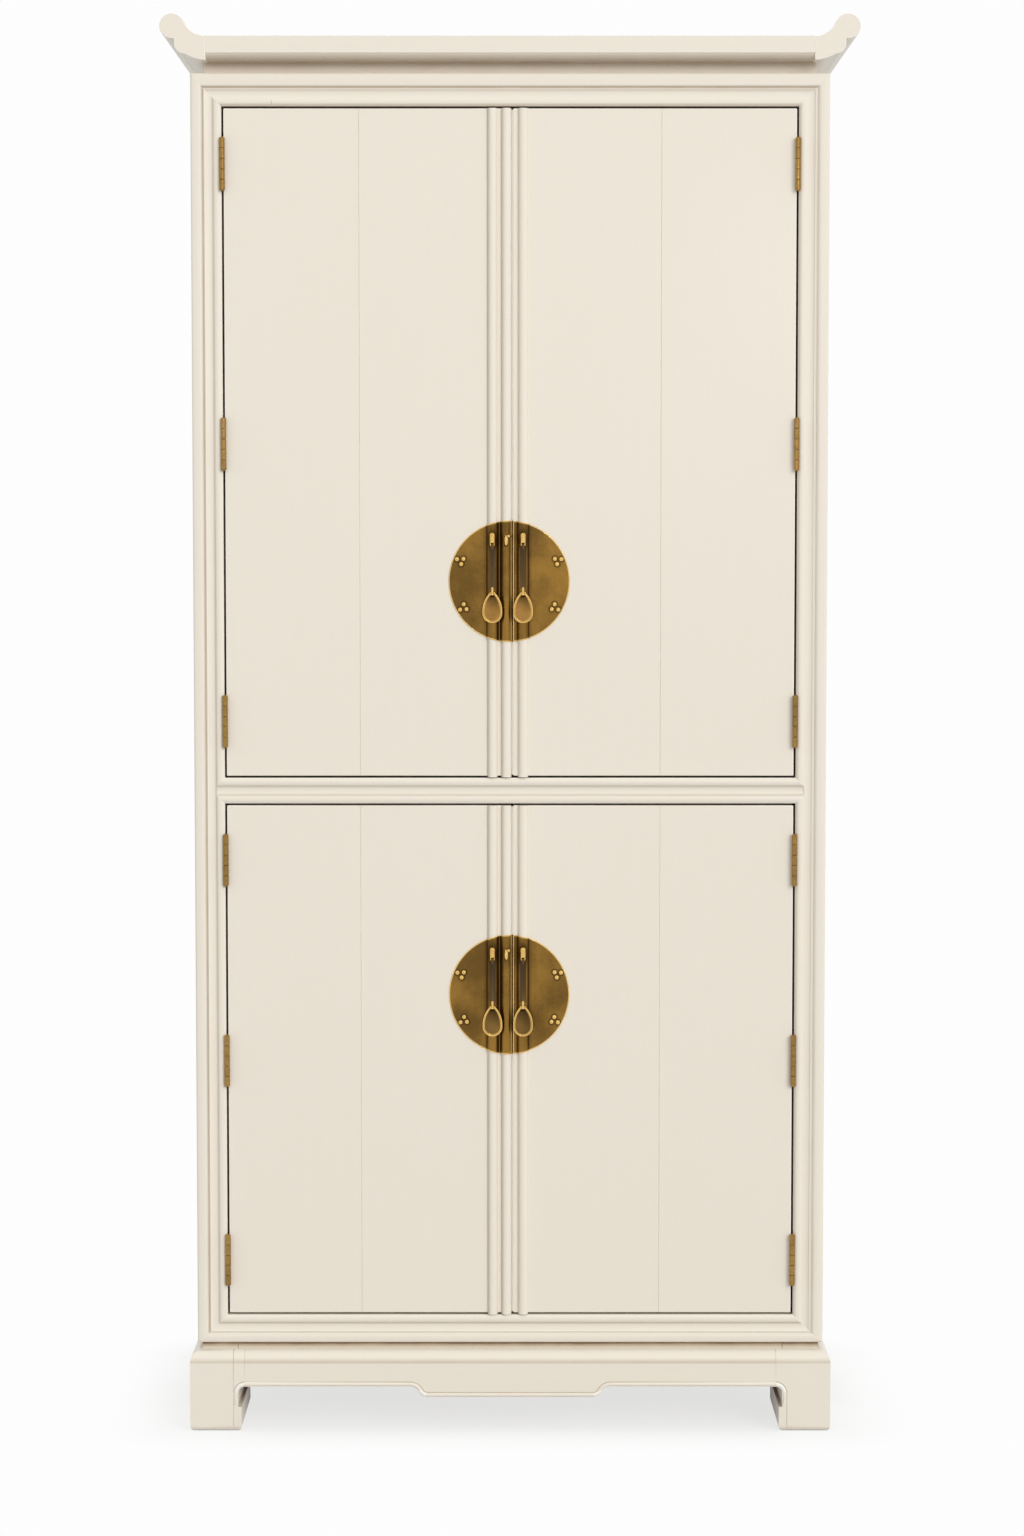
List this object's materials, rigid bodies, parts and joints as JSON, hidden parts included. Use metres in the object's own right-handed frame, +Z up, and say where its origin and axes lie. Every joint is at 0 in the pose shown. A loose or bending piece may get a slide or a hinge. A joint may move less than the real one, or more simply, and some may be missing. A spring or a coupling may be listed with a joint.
{
  "type": "hutch cabinet",
  "caption": "Tall ivory-lacquered cabinet with upper and lower pairs of inset doors, round brass lock plates with hanging pulls, a scroll-ended top and hoof feet.",
  "frame": {"origin": "on the floor, under the middle of the cabinet", "axes": "+Z up, +X to the viewer's right, +Y to the back; the doors face -Y"},
  "size_m": [1.0218, 0.514, 2.0972],
  "materials": {
    "ivory_lacquer": "satin ivory lacquer",
    "inside_wood": "clear satin",
    "aged_brass": "aged, mottled patina",
    "hinge_brass": "satin",
    "dark_strap": "dark satin",
    "bright_steel": "satin",
    "catch_plastic": "matte"
  },
  "bodies": {
    "carcass": {"foot_front_left": "ivory_lacquer", "foot_front_right": "ivory_lacquer", "foot_rear_left": "ivory_lacquer", "foot_rear_right": "ivory_lacquer", "front_apron": "ivory_lacquer", "rear_apron": "ivory_lacquer", "side_aprons": "ivory_lacquer", "base_neck": "ivory_lacquer", "left_side_panel": "ivory_lacquer", "right_side_panel": "ivory_lacquer", "carcass_bottom": "inside_wood", "middle_deck": "inside_wood", "carcass_top": "inside_wood", "back_panel": "inside_wood", "left_stile": "ivory_lacquer", "right_stile": "ivory_lacquer", "top_rail": "ivory_lacquer", "middle_rail": "ivory_lacquer", "bottom_rail": "ivory_lacquer", "adjustable_shelves": "inside_wood", "shelf_pins": "bright_steel", "magnetic_catches": "catch_plastic", "top_neck": "ivory_lacquer", "top_board": "ivory_lacquer", "left_scroll": "ivory_lacquer", "right_scroll": "ivory_lacquer", "frame_hinge_leaves": "hinge_brass", "hinge_pins": "hinge_brass"},
    "upper_left_door_leaf": {"upper_left_door": "ivory_lacquer", "upper_left_reeds": "ivory_lacquer", "upper_left_lock_plate": "aged_brass", "upper_left_plate_fixings": "aged_brass", "upper_left_hinge_leaves": "hinge_brass", "upper_left_catch_strike": "bright_steel"},
    "upper_left_strap": {"upper_left_pull_strap": "dark_strap"},
    "upper_left_pendant": {"upper_left_pull_pendant": "aged_brass"},
    "upper_right_door_leaf": {"upper_right_door": "ivory_lacquer", "upper_right_reeds": "ivory_lacquer", "upper_right_lock_plate": "aged_brass", "upper_right_plate_fixings": "aged_brass", "upper_right_hinge_leaves": "hinge_brass", "upper_right_catch_strike": "bright_steel"},
    "upper_right_strap": {"upper_right_pull_strap": "dark_strap"},
    "upper_right_pendant": {"upper_right_pull_pendant": "aged_brass"},
    "lower_left_door_leaf": {"lower_left_door": "ivory_lacquer", "lower_left_reeds": "ivory_lacquer", "lower_left_lock_plate": "aged_brass", "lower_left_plate_fixings": "aged_brass", "lower_left_hinge_leaves": "hinge_brass", "lower_left_catch_strike": "bright_steel"},
    "lower_left_strap": {"lower_left_pull_strap": "dark_strap"},
    "lower_left_pendant": {"lower_left_pull_pendant": "aged_brass"},
    "lower_right_door_leaf": {"lower_right_door": "ivory_lacquer", "lower_right_reeds": "ivory_lacquer", "lower_right_lock_plate": "aged_brass", "lower_right_plate_fixings": "aged_brass", "lower_right_hinge_leaves": "hinge_brass", "lower_right_catch_strike": "bright_steel"},
    "lower_right_strap": {"lower_right_pull_strap": "dark_strap"},
    "lower_right_pendant": {"lower_right_pull_pendant": "aged_brass"}
  },
  "joints": [
    {"name": "upper_left_door_hinge", "type": "hinge", "parent": "carcass", "child": "upper_left_door_leaf", "pos_m": [-0.4215, -0.2445, 1.4725], "axis": [0, 0, -1], "range_deg": [0, 170]},
    {"name": "upper_left_strap_hinge", "type": "hinge", "parent": "upper_left_door_leaf", "child": "upper_left_strap", "pos_m": [-0.02625, -0.25105, 1.3245], "axis": [-1, 0, 0], "range_deg": [0, 85]},
    {"name": "upper_left_pendant_hinge", "type": "hinge", "parent": "upper_left_strap", "child": "upper_left_pendant", "pos_m": [-0.02625, -0.25105, 1.2515], "axis": [-1, 0, 0], "range_deg": [0, 60]},
    {"name": "upper_right_door_hinge", "type": "hinge", "parent": "carcass", "child": "upper_right_door_leaf", "pos_m": [0.4215, -0.2445, 1.4725], "axis": [0, 0, 1], "range_deg": [0, 170]},
    {"name": "upper_right_strap_hinge", "type": "hinge", "parent": "upper_right_door_leaf", "child": "upper_right_strap", "pos_m": [0.01905, -0.25105, 1.3245], "axis": [-1, 0, 0], "range_deg": [0, 85]},
    {"name": "upper_right_pendant_hinge", "type": "hinge", "parent": "upper_right_strap", "child": "upper_right_pendant", "pos_m": [0.01905, -0.25105, 1.2515], "axis": [-1, 0, 0], "range_deg": [0, 60]},
    {"name": "lower_left_door_hinge", "type": "hinge", "parent": "carcass", "child": "lower_left_door_leaf", "pos_m": [-0.4215, -0.2445, 0.558], "axis": [0, 0, -1], "range_deg": [0, 170]},
    {"name": "lower_left_strap_hinge", "type": "hinge", "parent": "lower_left_door_leaf", "child": "lower_left_strap", "pos_m": [-0.02625, -0.25105, 0.7105], "axis": [-1, 0, 0], "range_deg": [0, 85]},
    {"name": "lower_left_pendant_hinge", "type": "hinge", "parent": "lower_left_strap", "child": "lower_left_pendant", "pos_m": [-0.02625, -0.25105, 0.6375], "axis": [-1, 0, 0], "range_deg": [0, 60]},
    {"name": "lower_right_door_hinge", "type": "hinge", "parent": "carcass", "child": "lower_right_door_leaf", "pos_m": [0.4215, -0.2445, 0.558], "axis": [0, 0, 1], "range_deg": [0, 170]},
    {"name": "lower_right_strap_hinge", "type": "hinge", "parent": "lower_right_door_leaf", "child": "lower_right_strap", "pos_m": [0.01905, -0.25105, 0.7105], "axis": [-1, 0, 0], "range_deg": [0, 85]},
    {"name": "lower_right_pendant_hinge", "type": "hinge", "parent": "lower_right_strap", "child": "lower_right_pendant", "pos_m": [0.01905, -0.25105, 0.6375], "axis": [-1, 0, 0], "range_deg": [0, 60]}
  ]
}
